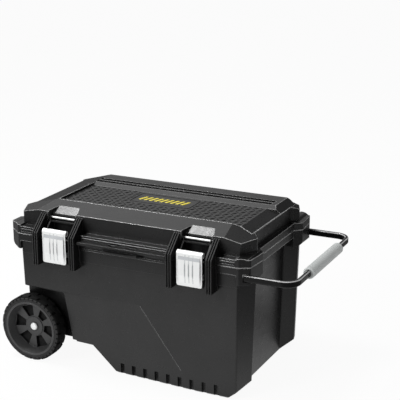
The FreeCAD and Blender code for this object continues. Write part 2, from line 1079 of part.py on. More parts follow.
def make_lid():
    """Hollow lid with flange, ears, brackets, pockets, ribs and hinge knuckles."""
    low = rim_height + lid_gap
    skin = roof_form(0, 0, low, bar_height)
    cavity = lid_cavity(low)
    flange = prism(flange_outline(), low, low + flange_rise, flange_round)
    heights = (low, rim_height + ear_rise)
    shell = joined([skin, flange, bar_end()] + ears(heights, heights, ear_top_round, True))
    under_bar = block(
        -panel_half, panel_half, bar_front, bar_back, low, bar_height - groove_deep - lid_wall
    )
    shell = shell.cut(cavity.fuse(under_bar)).cut(hinge_room())
    more = [lattice(cavity), lid_lip()] + fins(lid_fin_points())
    more += knuckles(True, low, low + flange_rise)
    shell = joined([shell] + more)
    cuts = slot_tools() + panel_tools()
    for x in (-latch_x, latch_x):
        pocket = latch_pocket(0)
        pocket.translate(V(x, 0, 0))
        cuts.append(pocket)
        cuts.append(make_strike_rod(x))
    return shell.cut(cuts)


def make_strike_rod(x):
    """Rod across one latch pocket, seated in the pocket's side walls."""
    half = pocket_half + strike_seat
    return rod_x(strike_radius, x - half, x + half, -half_depth + strike_in, strike_height)


def make_hinge_pin():
    """Pin through all hinge knuckles."""
    half = (knuckle_count + knuckle_count - 1) * knuckle_length / 2
    return rod_x(hinge_pin_radius, -half, half, hinge_y(), rim_height)


def make_latch_plate(x):
    """Bowed sheet plate rolled round its pin, with side cheeks for the hook."""
    back = plate_back()
    front = back - plate_thick
    points = [
        (x - plate_half, plate_bottom), (x + plate_half, plate_bottom),
        (x + plate_half, pin_z() + plate_round), (x - plate_half, pin_z() + plate_round),
    ]
    sheet = front_prism(points, front, back, plate_round)
    sheet = sheet.common(block(x - plate_half, x + plate_half, front, back, plate_bottom, pin_z()))
    edge = plate_half - plate_round
    bow = [
        (back, plate_bottom + plate_round), (front, plate_bottom + plate_round),
        (front - plate_bow, plate_bottom + bow_run), (front - plate_bow, pin_z() - bow_run),
        (front, pin_z()), (back, pin_z()),
    ]
    roll = rod_x(roll_radius(), x - plate_half, x + plate_half, pin_y(), pin_z())
    parts = [sheet, end_prism(bow, x - edge, x + edge), roll]
    pivot = pin_z() - hook_pivot_drop
    for side in (-1, 1):
        outer = x + side * plate_half
        inner = outer - side * plate_thick
        parts.append(block(
            min(outer, inner), max(outer, inner), front, back + cheek_deep,
            pivot - cheek_half_tall, pivot + cheek_half_tall,
        ))
    cuts = [rod_x(latch_pin_radius + knuckle_run, x - plate_half, x + plate_half, pin_y(), pin_z())]
    cuts.append(rod_x(hook_pin_radius + knuckle_run, x - plate_half, x + plate_half, hook_y(), pivot))
    for side in (-1, 1):
        left = x + side * post_off - post_half - post_gap
        right = x + side * post_off + post_half + post_gap
        room = post_radius + post_gap
        low = pin_z() - roll_radius() - post_gap
        cuts.append(rod_x(room, left, right, pin_y(), pin_z()))
        cuts.append(block(left, right, pin_y() - room, pin_y() + overrun, low, pin_z()))
        cuts.append(block(left, right, pin_y(), pin_y() + overrun, low, pin_z() + overrun))
    return joined(parts).cut(cuts + plate_flutes(x, front - plate_bow))


def plate_flutes(x, front):
    """Upright grooves in the middle of one latch plate's face."""
    found = []
    for i in range(flute_count):
        middle = x + (i - (flute_count - 1) / 2) * flute_pitch
        points = [(middle - flute_half, front), (middle + flute_half, front), (middle, front + flute_deep)]
        found.append(prism(points, plate_bottom + flute_foot, pin_z() - flute_head))
    return found


def hook_y():
    """Y of the hook's pivot in the plate's cheeks."""
    return plate_back() + cheek_deep - cheek_half_tall


def make_latch_pin(x):
    """Pin from edge to edge through the plate's rolled edge and the arms."""
    return rod_x(latch_pin_radius, x - plate_half, x + plate_half, pin_y(), pin_z())


def make_hook(x):
    """Two flat arms on pivots in the cheeks, with a cross bar under the strike rod."""
    inner = plate_half + hook_gap
    foot_y, foot_z = hook_y(), pin_z() - hook_pivot_drop
    knee_y = -half_depth - hook_knee_out
    tip_y = -half_depth + strike_in - strike_radius - hook_gap
    bar_z = strike_height - strike_radius - hook_half
    points = [
        (foot_y - hook_half, foot_z - hook_half), (foot_y + hook_half, foot_z - hook_half),
        (knee_y + hook_half, rim_height), (tip_y, bar_z - hook_half), (tip_y, strike_height + hook_half),
        (tip_y - hook_half, strike_height + hook_half), (tip_y - hook_half, bar_z),
        (knee_y - hook_half, rim_height + hook_half),
    ]
    parts = [block(x - inner, x + inner, tip_y - hook_half, tip_y, bar_z - hook_half, bar_z)]
    for side in (-1, 1):
        near = x + side * inner
        far = near + side * hook_thick
        parts.append(end_prism(points, min(near, far), max(near, far)))
        tip = x + side * (plate_half - plate_thick)
        parts.append(rod_x(hook_pin_radius, min(tip, far), max(tip, far), foot_y, foot_z))
    return joined(parts)


def make_axle():
    """Steel axle from cap to cap."""
    half = wheel_outer - hub_in + side_play + cap_thick / 2
    return rod_y(axle_radius, -half, half, axle_x, wheel_radius)


def make_cap():
    """Round cap on the front end of the axle."""
    inner = -wheel_outer + hub_in - side_play
    outer = inner - cap_thick
    cap = spun([
        (0, outer), (cap_radius - cap_round, outer), (cap_radius, outer + cap_round),
        (cap_radius, inner), (0, inner),
    ], axle_x, wheel_radius)
    return cap.cut(rod_y(axle_radius, inner - cap_thick / 2, inner, axle_x, wheel_radius))


def make_washer():
    """Washer between the axle box and the front wheel."""
    near = -wheel_outer + wheel_width
    ring = rod_y(washer_radius, near + side_play, -well_half, axle_x, wheel_radius)
    return ring.cut(rod_y(axle_radius, near + side_play, -well_half, axle_x, wheel_radius))


def spun(points, x, z):
    """Profile of radius and Y turned round a line along Y."""
    corners = [V(x, y, z + r) for r, y in points]
    face = Part.Face(Part.makePolygon(corners + corners[:1]))
    return face.revolve(V(x, 0, z), V(0, 1, 0), math.degrees(math.tau))


def hub_windows(outer, far):
    """Blind windows between the spokes of the front hub."""
    low = hub_radius + window_gap
    high = rim_inner - window_gap / 2
    turn = math.pi / spoke_count
    low_half = low * math.sin(turn) * window_tip_share
    high_half = high * math.sin(turn) * window_tip_share
    points = [
        (axle_x - low_half, wheel_radius + low), (axle_x + low_half, wheel_radius + low),
        (axle_x + high_half, wheel_radius + high), (axle_x - high_half, wheel_radius + high),
    ]
    window = front_prism(points, outer, far)
    found = []
    for i in range(spoke_count):
        tool = window.copy()
        tool.rotate(V(axle_x, 0, wheel_radius), V(0, 1, 0), window_lean + math.degrees(turn + turn) * i)
        found.append(tool)
    return found


def make_hub():
    """Front wheel hub with dished rim, web, blind windows and boss."""
    outer = -wheel_outer
    inner = outer + wheel_width
    near = outer + web_in
    far = near + web_thick
    rim = spun([
        (rim_mouth, outer), (rim_radius, outer), (rim_radius, inner), (rim_inner, inner), (rim_inner, near),
    ], axle_x, wheel_radius)
    disc = [(hub_radius, near), (rim_inner, near), (rim_inner, far), (hub_radius, far)]
    web = spun(disc, axle_x, wheel_radius)
    bore = axle_radius + axle_run
    face = outer + hub_in
    ring = [(bore, face), (hub_radius, face), (hub_radius, inner), (bore, inner)]
    boss = spun(ring, axle_x, wheel_radius)
    return joined([rim, web, boss]).cut(hub_windows(outer, far - window_back))


def make_tyre():
    """Front tyre with rounded shoulders and a notched tread."""
    outer = -wheel_outer
    inner = outer + wheel_width
    low = wheel_radius - tyre_shoulder
    ring = spun([
        (rim_radius, outer), (low, outer), (wheel_radius, outer + tyre_shoulder),
        (wheel_radius, inner - tyre_shoulder), (low, inner), (rim_radius, inner),
    ], axle_x, wheel_radius)
    width = wheel_width * tread_share
    half = tread_width / 2
    grooves = []
    for i in range(tread_count):
        for near, shift in ((outer, 0), (inner - width, 1)):
            tool = block(
                axle_x - half, axle_x + half, near, near + width,
                wheel_radius + wheel_radius - tread_deep, wheel_radius + wheel_radius + overrun,
            )
            step = math.degrees(math.tau) / tread_count
            tool.rotate(V(axle_x, 0, wheel_radius), V(0, 1, 0), step * (i + shift / 2))
            grooves.append(tool)
    return ring.cut(grooves)


def section(middle, height, shrink):
    """Corners of the handle tube's section round a middle, shrunk for the hollow or grown for a hole."""
    wide = leg_wide / 2 - shrink
    tall = leg_tall / 2 - shrink
    signs = ((-1, -1), (1, -1), (1, 1), (-1, 1))
    return [(middle + s * wide, height + t * tall) for s, t in signs]


def make_handle():
    """Bent tube with hollow legs."""
    turn_x = bar_x - bend_radius
    turn_y = leg_y - bend_radius
    quarter = math.degrees(math.pi) / 2
    parts = [front_prism(section(bar_x, leg_height, 0), -turn_y, turn_y, leg_round)]
    hollow = []
    for side in (-1, 1):
        leg = section(side * leg_y, leg_height, 0)
        parts.append(end_prism(leg, leg_in, turn_x, leg_round))
        face = Part.Face(rounded_wire(leg, leg_round, sideways))
        face.translate(V(turn_x, 0, 0))
        parts.append(face.revolve(V(turn_x, side * turn_y, 0), V(0, 0, side), -quarter))
        core = section(side * leg_y, leg_height, tube_wall)
        hollow.append(end_prism(core, leg_in, turn_x, leg_round - tube_wall))
    return joined(parts).cut(hollow)


def make_plug():
    """Plug in the inner end of the front leg, with a head as large as the tube."""
    stem = end_prism(
        section(-leg_y, leg_height, tube_wall), leg_in, leg_in + plug_length, leg_round - tube_wall
    )
    head = end_prism(section(-leg_y, leg_height, 0), leg_in - plug_head, leg_in, leg_round)
    return stem.fuse(head)


def make_collar():
    """Collar that fills the channel's mouth round the front leg."""
    left = half_length - collar_in
    right = left + collar_length
    outer = end_prism(section(-leg_y, leg_height, -channel_clear), left, right)
    inner = end_prism(section(-leg_y, leg_height, -collar_run), left, right, leg_round + collar_run)
    return outer.cut(inner)


def make_grip():
    """Soft grip on the handle's cross bar."""
    edge = grip_radius - grip_round
    side = grip_half - grip_round
    form = spun([
        (0, -grip_half), (edge, -grip_half), (grip_radius, -side),
        (grip_radius, side), (edge, grip_half), (0, grip_half),
    ], bar_x, leg_height)
    return form.cut(front_prism(section(bar_x, leg_height, 0), -grip_half, grip_half, leg_round))


def tray_outline(inset):
    """Plan outline of the tray: bowed ends, cut corners, waisted long sides."""
    quarter = [
        (tray_end_half, tray_half_y),
        (tray_corner_x, tray_corner_end_y),
        (tray_half_x, tray_corner_y),
        (tray_half_x - tray_waist_in, tray_waist_y),
    ]
    points = moved_in(mirrored_ends(quarter, quarter), inset)
    return [(tray_x + x, y) for x, y in points]


def make_tray():
    """Lift-out tray with two long bins, end bins and a handle bar."""
    low = ledge_height + wall
    top = low + tray_height
    skin = drawn(tray_outline(tray_draft), low, tray_outline(0), top, tray_round)
    inner = drawn(
        tray_outline(tray_draft + tray_wall), low + tray_wall, tray_outline(tray_wall), top, tray_round
    )
    shell = skin.cut(inner)
    half = tray_wall / 2
    walls = []
    for side in (-1, 1):
        x = tray_x + side * divider_x
        walls.append(block(x - half, x + half, -tray_half_y, tray_half_y, low, top))
        y = side * cross_wall_y
        walls.append(block(tray_x - divider_x, tray_x + divider_x, y - half, y + half, low, top))
    walls = [w.common(skin) for w in walls]
    crown = []
    for side in (-1, 1):
        y = side * cross_wall_y
        crown.append(block(
            tray_x - handle_bar_half, tray_x + handle_bar_half, y - tray_wall, y + tray_wall,
            low, top + handle_rise,
        ))
    bar = block(
        tray_x - handle_bar_half, tray_x + handle_bar_half, -cross_wall_y, cross_wall_y,
        top + handle_rise - handle_bar_thick, top + handle_rise,
    )
    return joined([shell] + walls + crown + [bar])


os.makedirs("parts", exist_ok=True)
hub = make_hub()
tyre = make_tyre()
cap = make_cap()
washer = make_washer()
plug = make_plug()
collar = make_collar()
nodes = {
    "tub": make_tub(),
    "lid": make_lid(),
    "tray": make_tray(),
    "hinge_pin": make_hinge_pin(),
    "axle": make_axle(),
    "axle_cap_front": cap,
    "axle_cap_back": mirrored(cap),
    "axle_washer_front": washer,
    "axle_washer_back": mirrored(washer),
    "wheel_hub_front": hub,
    "wheel_hub_back": mirrored(hub),
    "tyre_front": tyre,
    "tyre_back": mirrored(tyre),
    "handle_tube": make_handle(),
    "handle_grip": make_grip(),
    "handle_plug_front": plug,
    "handle_plug_back": mirrored(plug),
    "handle_collar_front": collar,
    "handle_collar_back": mirrored(collar),
    "latch_plate_left": make_latch_plate(-latch_x),
    "latch_plate_right": make_latch_plate(latch_x),
    "latch_pin_left": make_latch_pin(-latch_x),
    "latch_pin_right": make_latch_pin(latch_x),
    "latch_hook_left": make_hook(-latch_x),
    "latch_hook_right": make_hook(latch_x),
    "strike_rod_left": make_strike_rod(-latch_x),
    "strike_rod_right": make_strike_rod(latch_x),
}
for name, shape in nodes.items():
    shape.exportStep(os.path.join("parts", name + ".step"))
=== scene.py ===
import json
import math

import bmesh
import bpy
from mathutils import Matrix, Vector


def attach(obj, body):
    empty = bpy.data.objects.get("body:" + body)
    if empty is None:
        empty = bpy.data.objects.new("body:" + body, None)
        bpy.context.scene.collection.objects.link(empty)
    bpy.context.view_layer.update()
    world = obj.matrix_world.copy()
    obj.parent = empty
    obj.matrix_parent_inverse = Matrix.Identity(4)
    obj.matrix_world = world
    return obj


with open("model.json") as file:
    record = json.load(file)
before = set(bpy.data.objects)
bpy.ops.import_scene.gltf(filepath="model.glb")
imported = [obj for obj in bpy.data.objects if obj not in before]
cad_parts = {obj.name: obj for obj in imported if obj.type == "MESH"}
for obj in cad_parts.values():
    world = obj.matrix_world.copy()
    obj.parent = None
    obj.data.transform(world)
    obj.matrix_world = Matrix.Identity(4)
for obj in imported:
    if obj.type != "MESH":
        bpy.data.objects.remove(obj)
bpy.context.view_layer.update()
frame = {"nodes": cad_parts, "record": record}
nodes = frame["nodes"]
joints = {j["name"]: j["pos_m"] for j in frame["record"]["behaviour"]["joints"] if "pos_m" in j}


# Places and sizes in metres, from the frame's joints where these give them

AXLE_X, _, AXLE_Z = joints["wheel_front_spin"]
RIM_Z = joints["lid_hinge"][2]
LATCH_X = joints["latch_right_swing"][0]
HALF_DEPTH = 0.206
FLANGE_OUT = 0.006
FLANGE_RISE = 0.0196
FLANGE_Y = -HALF_DEPTH - FLANGE_OUT
FLANGE_TOP = RIM_Z + FLANGE_RISE
LID_Y = -0.19
PANEL_Z = 0.42
PATCH_LEFT, PATCH_RIGHT = -0.08, 0.093
PATCH_HALF = 0.038
HANDLE_Z = 0.324
BRACKET_OFF = 0.0535
BRACKET_HALF = 0.009
SPOKE_FACE = 0.191
WINDOW_RADIUS = 0.0605
TREAD_RADIUS = 0.0858
SHOULDER_RADIUS = 0.081
SHOULDER_SLOTS = 40
RING_PITCH = 0.003

# Soft border of an area that a material treats apart
BORDER = 0.001
HALF_BORDER = BORDER / 2

# Part of its range in which a noise mostly stays
NOISE_BAND = (0.3, 0.7)

# Rays for each rounded edge and each gap
EDGE_SAMPLES = 6


# Node helpers

def empty_tree(owner):
    """Emptied node tree of a material or a world."""
    owner.use_nodes = True
    owner.node_tree.nodes.clear()
    return owner.node_tree


def new_material(name):
    """Empty node material with an output and a principled shader."""
    mat = bpy.data.materials.new(name)
    tree = empty_tree(mat)
    out = tree.nodes.new("ShaderNodeOutputMaterial")
    bsdf = tree.nodes.new("ShaderNodeBsdfPrincipled")
    tree.links.new(bsdf.outputs["BSDF"], out.inputs["Surface"])
    return mat, tree, bsdf


def noise(tree, coord, scale, detail, rough=0.55):
    """Noise texture in object space."""
    tex = tree.nodes.new("ShaderNodeTexNoise")
    tex.inputs["Scale"].default_value = scale
    tex.inputs["Detail"].default_value = detail
    tex.inputs["Roughness"].default_value = rough
    tree.links.new(coord, tex.inputs["Vector"])
    return tex.outputs["Fac"]


def spread(tree, value, low, high, start=0.0, end=1.0):
    """Map a value from the range between start and end to the range between low and high."""
    node = tree.nodes.new("ShaderNodeMapRange")
    node.inputs["From Min"].default_value = start
    node.inputs["From Max"].default_value = end
    node.inputs["To Min"].default_value = low
    node.inputs["To Max"].default_value = high
    tree.links.new(value, node.inputs["Value"])
    return node.outputs["Result"]


def rising(tree, value, start, end):
    """Nothing below the start, one above the end."""
    return spread(tree, value, 0.0, 1.0, start, end)


def falling(tree, value, start, end):
    """One below the start, nothing above the end."""
    return spread(tree, value, 1.0, 0.0, start, end)


def math_node(tree, kind, a, b=0.0):
    """Arithmetic on two sockets or numbers."""
    node = tree.nodes.new("ShaderNodeMath")
    node.operation = kind
    for socket, value in zip(node.inputs, (a, b)):
        if isinstance(value, (int, float)):
            socket.default_value = value
        else:
            tree.links.new(value, socket)
    return node.outputs["Value"]


def product(tree, first, *others):
    """Product of several sockets or numbers."""
    for other in others:
        first = math_node(tree, "MULTIPLY", first, other)
    return first


def mix(tree, fac, a, b):
    """Blend two colours."""
    node = tree.nodes.new("ShaderNodeMix")
    node.data_type = "RGBA"
    tree.links.new(fac, node.inputs["Factor"])
    for name, value in (("A", a), ("B", b)):
        socket = [s for s in node.inputs if s.name == name and s.type == "RGBA"][0]
        if isinstance(value, tuple):
            socket.default_value = (*value, 1.0)
        else:
            tree.links.new(value, socket)
    return [s for s in node.outputs if s.type == "RGBA"][0]


def scaled(colour, share):
    """Colour times a share."""
    return tuple(c * share for c in colour)


def object_coord(tree):
    """Object coordinates, in metres."""
    return tree.nodes.new("ShaderNodeTexCoord").outputs["Object"]


def axes(tree, vector):
    """X, Y and Z of a vector."""
    split = tree.nodes.new("ShaderNodeSeparateXYZ")
    tree.links.new(vector, split.inputs["Vector"])
    return split.outputs["X"], split.outputs["Y"], split.outputs["Z"]


def face_normal(tree):
    """Normal of the surface itself."""
    return tree.nodes.new("ShaderNodeNewGeometry").outputs["Normal"]


def soft_edge(tree, radius):
    """Normal with rounded edges."""
    node = tree.nodes.new("ShaderNodeBevel")
    node.samples = EDGE_SAMPLES
    node.inputs["Radius"].default_value = radius
    return node.outputs["Normal"]


def crevice(tree, distance):
    """One in the open, falling toward nothing in narrow gaps."""
    node = tree.nodes.new("ShaderNodeAmbientOcclusion")
    node.samples = EDGE_SAMPLES
    node.inputs["Distance"].default_value = distance
    return node.outputs["AO"]


def edge_turn(tree, normal):
    """One along edges, where the rounded normal leaves the face's own, nothing on flat faces."""
    turned, flat = 0.97, 0.998
    node = tree.nodes.new("ShaderNodeVectorMath")
    node.operation = "DOT_PRODUCT"
    tree.links.new(normal, node.inputs[0])
    tree.links.new(face_normal(tree), node.inputs[1])
    return falling(tree, node.outputs["Value"], turned, flat)


def bump(tree, height, distance, normal):
    """Bump from a height, on top of a normal."""
    node = tree.nodes.new("ShaderNodeBump")
    node.inputs["Strength"].default_value = 1.0
    node.inputs["Distance"].default_value = distance
    tree.links.new(height, node.inputs["Height"])
    tree.links.new(normal, node.inputs["Normal"])
    return node.outputs["Normal"]


# Areas that the materials treat apart, from object coordinates

def short_of(tree, value, limit):
    """One where a value stays short of a limit, nothing from the limit on."""
    return falling(tree, value, limit - HALF_BORDER - BORDER, limit - HALF_BORDER)


def round_axle(tree, coord):
    """Distance from the axle's line and angle round it."""
    x, _, z = axes(tree, coord)
    along = math_node(tree, "SUBTRACT", x, AXLE_X)
    up = math_node(tree, "SUBTRACT", z, AXLE_Z)
    square = math_node(tree, "ADD", product(tree, along, along), product(tree, up, up))
    return math_node(tree, "SQRT", square), math_node(tree, "ARCTAN2", up, along)


def wheel_rings(tree, coord):
    """Height of the rings on the tyres' sides, round the axle."""
    low_share, high_share = 0.25, 0.6
    distance, _ = round_axle(tree, coord)
    wave = math_node(tree, "PINGPONG", distance, RING_PITCH)
    return rising(tree, wave, RING_PITCH * low_share, RING_PITCH * high_share)


def tyre_tread(tree, coord):
    """One on the tyres' running surface and in the slots of their shoulders, nothing on their sides. The
    rubber there is darker and rougher; in the slots the darkness is painted shade.
    """
    slot_share, border_share = 0.25, 0.4
    half_pitch = math.pi / SHOULDER_SLOTS
    distance, angle = round_axle(tree, coord)
    running = rising(tree, distance, TREAD_RADIUS - BORDER, TREAD_RADIUS)
    shoulder = rising(tree, distance, SHOULDER_RADIUS - BORDER, SHOULDER_RADIUS)
    wave = math_node(tree, "PINGPONG", angle, half_pitch)
    slot = falling(tree, wave, half_pitch * slot_share, half_pitch * border_share)
    return math_node(tree, "MAXIMUM", running, product(tree, shoulder, slot))


def hub_windows(tree, coord):
    """One inside the windows between the wheels' spokes, behind the face of the spokes, where the hub is
    painted dark as shade in the windows.
    """
    distance, _ = round_axle(tree, coord)
    _, y, _ = axes(tree, coord)
    behind = short_of(tree, math_node(tree, "ABSOLUTE", y), SPOKE_FACE)
    inside = falling(tree, distance, WINDOW_RADIUS - HALF_BORDER, WINDOW_RADIUS)
    return product(tree, behind, inside)


def latch_fins(tree, coord):
    """One on the fins of the latch brackets, which stand in front of the flange and of the lid's face. The
    chest's plastic is painted darker there as shade between the fins, with thin painted highlights on
    their edges.
    """
    x, y, z = axes(tree, coord)
    off_latch = math_node(tree, "SUBTRACT", math_node(tree, "ABSOLUTE", x), LATCH_X)
    off_bracket = math_node(tree, "SUBTRACT", math_node(tree, "ABSOLUTE", off_latch), BRACKET_OFF)
    off_bracket = math_node(tree, "ABSOLUTE", off_bracket)
    beside = falling(tree, off_bracket, BRACKET_HALF - HALF_BORDER, BRACKET_HALF + HALF_BORDER)
    above = rising(tree, z, FLANGE_TOP, FLANGE_TOP + BORDER)
    proud = product(tree, above, short_of(tree, y, LID_Y))
    proud = math_node(tree, "MAXIMUM", proud, short_of(tree, y, FLANGE_Y))
    return product(tree, beside, proud)


def rim_highlight_zone(tree, coord):
    """One round the lid and the rim and on the latch brackets' fins, nothing elsewhere: where edges get
    painted highlights.
    """
    low, high = RIM_Z - 0.025, RIM_Z - 0.015
    near = FLANGE_Y - 0.002
    _, y, z = axes(tree, coord)
    rim = product(tree, rising(tree, z, low, high), rising(tree, y, near - BORDER, near))
    return math_node(tree, "MAXIMUM", rim, latch_fins(tree, coord))


def handle_highlight_zone(tree, coord):
    """One on the upper rounds of the pull handle's tube, where a painted highlight lightens the paint."""
    side_end, round_start, round_end, top_start = 0.3, 0.5, 0.85, 0.95
    _, _, z = axes(tree, coord)
    _, _, up = axes(tree, face_normal(tree))
    upper = rising(tree, z, HANDLE_Z, HANDLE_Z + BORDER)
    off_side = rising(tree, up, side_end, round_start)
    off_top = falling(tree, up, round_end, top_start)
    return product(tree, upper, off_side, off_top)


# Materials

def plastic(
    name, dark, light, rough, depth, edge, grain=1500.0, specular=0.5, edge_highlight=0.0, highlight_zone=None, rounded=False,
    dull_and_shade=None, relief=None, shade_reach=0.03,
):
    """Moulded plastic: mottled colour, fine grain, rounded edges lightened by painted highlights, painted
    shade in narrow gaps.

    Edges in the highlight zone turn lighter by a painted highlight of the given strength, or the whole
    zone where the shape itself is rounded.
    The dull-and-shade area is darker and rougher, with painted shade where it lies in gaps and recesses.
    The shade reach is how near other faces must be for painted shade to darken a gap.
    """
    cloud_scale, cloud_detail = 14.0, 5.0
    scuff_scale, scuff_detail, scuff_rough = 55.0, 6.0, 0.7
    fine_detail = 3.0
    gap_start, highlight_start, open_end = 0.3, 0.7, 0.95
    gap_shade_share, least_highlight, highlight_rough_share = 0.1, 0.5, 0.6
    dull_and_shade_share, dull_highlight_share, dull_rough = 0.1, 0.08, 0.4
    mat, tree, bsdf = new_material(name)
    coord = object_coord(tree)
    cloud = noise(tree, coord, cloud_scale, cloud_detail)
    fine = noise(tree, coord, grain, fine_detail)
    scuff = noise(tree, coord, scuff_scale, scuff_detail, scuff_rough)
    colour = mix(tree, rising(tree, cloud, *NOISE_BAND), dark, light)
    roughness = spread(tree, scuff, *rough, *NOISE_BAND)
    normal = soft_edge(tree, edge)
    light_in = crevice(tree, shade_reach)
    # Painted highlight: rounded edges in the open turn lighter and glossier, standing in for light caught
    # on them.
    if edge_highlight > 0:
        highlight_mask = rising(tree, light_in, highlight_start, open_end)
        highlight_mask = product(tree, highlight_mask, spread(tree, scuff, least_highlight, 1.0, *NOISE_BAND))
        if not rounded:
            highlight_mask = product(tree, highlight_mask, edge_turn(tree, normal))
        if highlight_zone is not None:
            highlight_mask = product(tree, highlight_mask, highlight_zone(tree, coord))
        # Painted shade: the dull-and-shade area turns darker and rougher and keeps little of the painted
        # highlight.
        if dull_and_shade is not None:
            shade = dull_and_shade(tree, coord)
            highlight_mask = product(tree, highlight_mask, spread(tree, shade, 1.0, dull_highlight_share))
            colour = mix(tree, shade, colour, scaled(dark, dull_and_shade_share))
            roughness = math_node(tree, "ADD", roughness, product(tree, shade, dull_rough))
        colour = mix(tree, highlight_mask, colour, tuple(min(c + edge_highlight, 1.0) for c in light))
        roughness = product(tree, roughness, spread(tree, highlight_mask, 1.0, highlight_rough_share))
    # Painted shade: the base colour darkens in narrow gaps, where other faces are near.
    unshaded = rising(tree, light_in, gap_start, open_end)
    tree.links.new(mix(tree, unshaded, scaled(dark, gap_shade_share), colour), bsdf.inputs["Base Color"])
    tree.links.new(roughness, bsdf.inputs["Roughness"])
    bsdf.inputs["Specular IOR Level"].default_value = specular
    if relief is not None:
        shape, tall = relief
        normal = bump(tree, shape(tree, coord), tall, normal)
    tree.links.new(bump(tree, fine, depth, normal), bsdf.inputs["Normal"])
    return mat


def metal(name, dark, light, rough, along, edge, metallic=1.0):
    """Brushed metal: fine streaks along one axis, small smudges in the colour, painted shade in narrow
    gaps.
    """
    streaks_across, streaks_along = 900.0, 18.0
    streak_detail, streak_depth = 2.0, 0.00006
    smudge_scale, smudge_detail, smudge_rough = 30.0, 5.0, 0.65
    smudge_band = (0.35, 0.65)
    gap_reach, gap_start, open_end, gap_shade_share = 0.006, 0.5, 0.95, 0.3
    mat, tree, bsdf = new_material(name)
    coord = object_coord(tree)
    place = tree.nodes.new("ShaderNodeMapping")
    stretch = [streaks_across] * 3
    stretch[along] = streaks_along
    place.inputs["Scale"].default_value = stretch
    tree.links.new(coord, place.inputs["Vector"])
    streak = noise(tree, place.outputs["Vector"], 1.0, streak_detail)
    smudge = noise(tree, coord, smudge_scale, smudge_detail, smudge_rough)
    colour = mix(tree, rising(tree, smudge, *smudge_band), dark, light)
    # Painted shade: the base colour darkens in narrow gaps.
    unshaded = rising(tree, crevice(tree, gap_reach), gap_start, open_end)
    tree.links.new(mix(tree, unshaded, scaled(dark, gap_shade_share), colour), bsdf.inputs["Base Color"])
    tree.links.new(spread(tree, streak, *rough, *NOISE_BAND), bsdf.inputs["Roughness"])
    bsdf.inputs["Metallic"].default_value = metallic
    tree.links.new(bump(tree, streak, streak_depth, soft_edge(tree, edge)), bsdf.inputs["Normal"])
    return mat


BLACK = (0.008, 0.008, 0.0082)
BLACK_LIGHT = (0.0115, 0.0115, 0.0117)
ALONG_X, ALONG_Z = 0, 2

# Edges round the lid, the rim and the latch fins turn lighter as painted highlights; the fins and narrow
# gaps turn darker as painted shade.
chest_mat = plastic(
    "chest_plastic", BLACK, BLACK_LIGHT, rough=(0.25, 0.35), depth=0.00006, edge=0.002,
    edge_highlight=0.7, highlight_zone=rim_highlight_zone, dull_and_shade=latch_fins,
)
# Edges turn a little lighter as painted highlights.
strip_mat = plastic(
    "strip_plastic", BLACK, BLACK_LIGHT, rough=(0.2, 0.3), depth=0.00005, edge=0.0012, edge_highlight=0.25,
)
# Darker copy of the black plastic: painted shade on the tread's lozenges, also used for the patch frame.
tread_shade_mat = plastic(
    "tread_plastic", dark=(0.003, 0.003, 0.0031), light=(0.005, 0.005, 0.0051), rough=(0.5, 0.6),
    depth=0.0001, edge=0.0003, specular=0.25,
)
# Near-black plastic for sheets of painted shade in grooves and gaps.
shade_sheet_mat = plastic(
    "groove_plastic", dark=(0.002, 0.002, 0.002), light=(0.004, 0.004, 0.004), rough=(0.7, 0.8),
    depth=0.0001, edge=0.0003, specular=0.1,
)
tray_mat = plastic(
    "tray_plastic", dark=(0.018, 0.018, 0.0185), light=(0.024, 0.024, 0.0245), rough=(0.45, 0.6),
    depth=0.00012, edge=0.0012, edge_highlight=0.02,
)
# Painted shade darkens the hub behind the spokes, inside the windows.
hub_mat = plastic(
    "hub_plastic", dark=(0.036, 0.036, 0.0365), light=(0.046, 0.046, 0.0465), rough=(0.34, 0.48),
    depth=0.0001, edge=0.0014, grain=1200.0, edge_highlight=0.02, dull_and_shade=hub_windows, shade_reach=0.008,
)
# Painted shade darkens the slots in the tyres' shoulders; the running surface is darker and rougher.
tyre_mat = plastic(
    "tyre_rubber", dark=(0.011, 0.011, 0.011), light=(0.02, 0.02, 0.02), rough=(0.5, 0.7),
    depth=0.0003, edge=0.0012, grain=700.0, specular=0.4, edge_highlight=0.02, dull_and_shade=tyre_tread,
    relief=(wheel_rings, 0.0008),
)
guide_mat = plastic(
    "guide_plastic", dark=(0.012, 0.012, 0.012), light=(0.018, 0.018, 0.018), rough=(0.4, 0.5),
    depth=0.0001, edge=0.0005,
)
grip_mat = plastic(
    "grip_rubber", dark=(0.5, 0.52, 0.515), light=(0.58, 0.6, 0.595), rough=(0.5, 0.65),
    depth=0.0002, edge=0.0015, grain=900.0, specular=0.4,
)
# A painted highlight lightens the upper rounds of the handle's tube.
handle_mat = plastic(
    "handle_paint", dark=(0.003, 0.003, 0.0032), light=(0.005, 0.005, 0.0052), rough=(0.07, 0.13),
    depth=0.00002, edge=0.0012, grain=2500.0, specular=0.25, edge_highlight=0.7, highlight_zone=handle_highlight_zone, rounded=True,
)
mark_mat = plastic(
    "mark_paint", dark=(0.7, 0.58, 0.05), light=(0.8, 0.68, 0.06), rough=(0.4, 0.5),
    depth=0.00005, edge=0.0003,
)
bright_mat = metal(
    "bright_steel", dark=(0.94, 0.95, 0.945), light=(0.99, 1.0, 0.995), rough=(0.4, 0.5),
    along=ALONG_Z, edge=0.0008, metallic=0.35,
)
# Darker copy of the plates' steel: painted shade on the latch plates.
plate_shade_mat = metal(
    "pressed_steel", dark=(0.66, 0.68, 0.7), light=(0.74, 0.76, 0.78), rough=(0.4, 0.5),
    along=ALONG_Z, edge=0.0002, metallic=0.5,
)
pin_mat = metal(
    "pin_steel", dark=(0.45, 0.45, 0.45), light=(0.58, 0.58, 0.575), rough=(0.3, 0.45),
    along=ALONG_X, edge=0.0004,
)

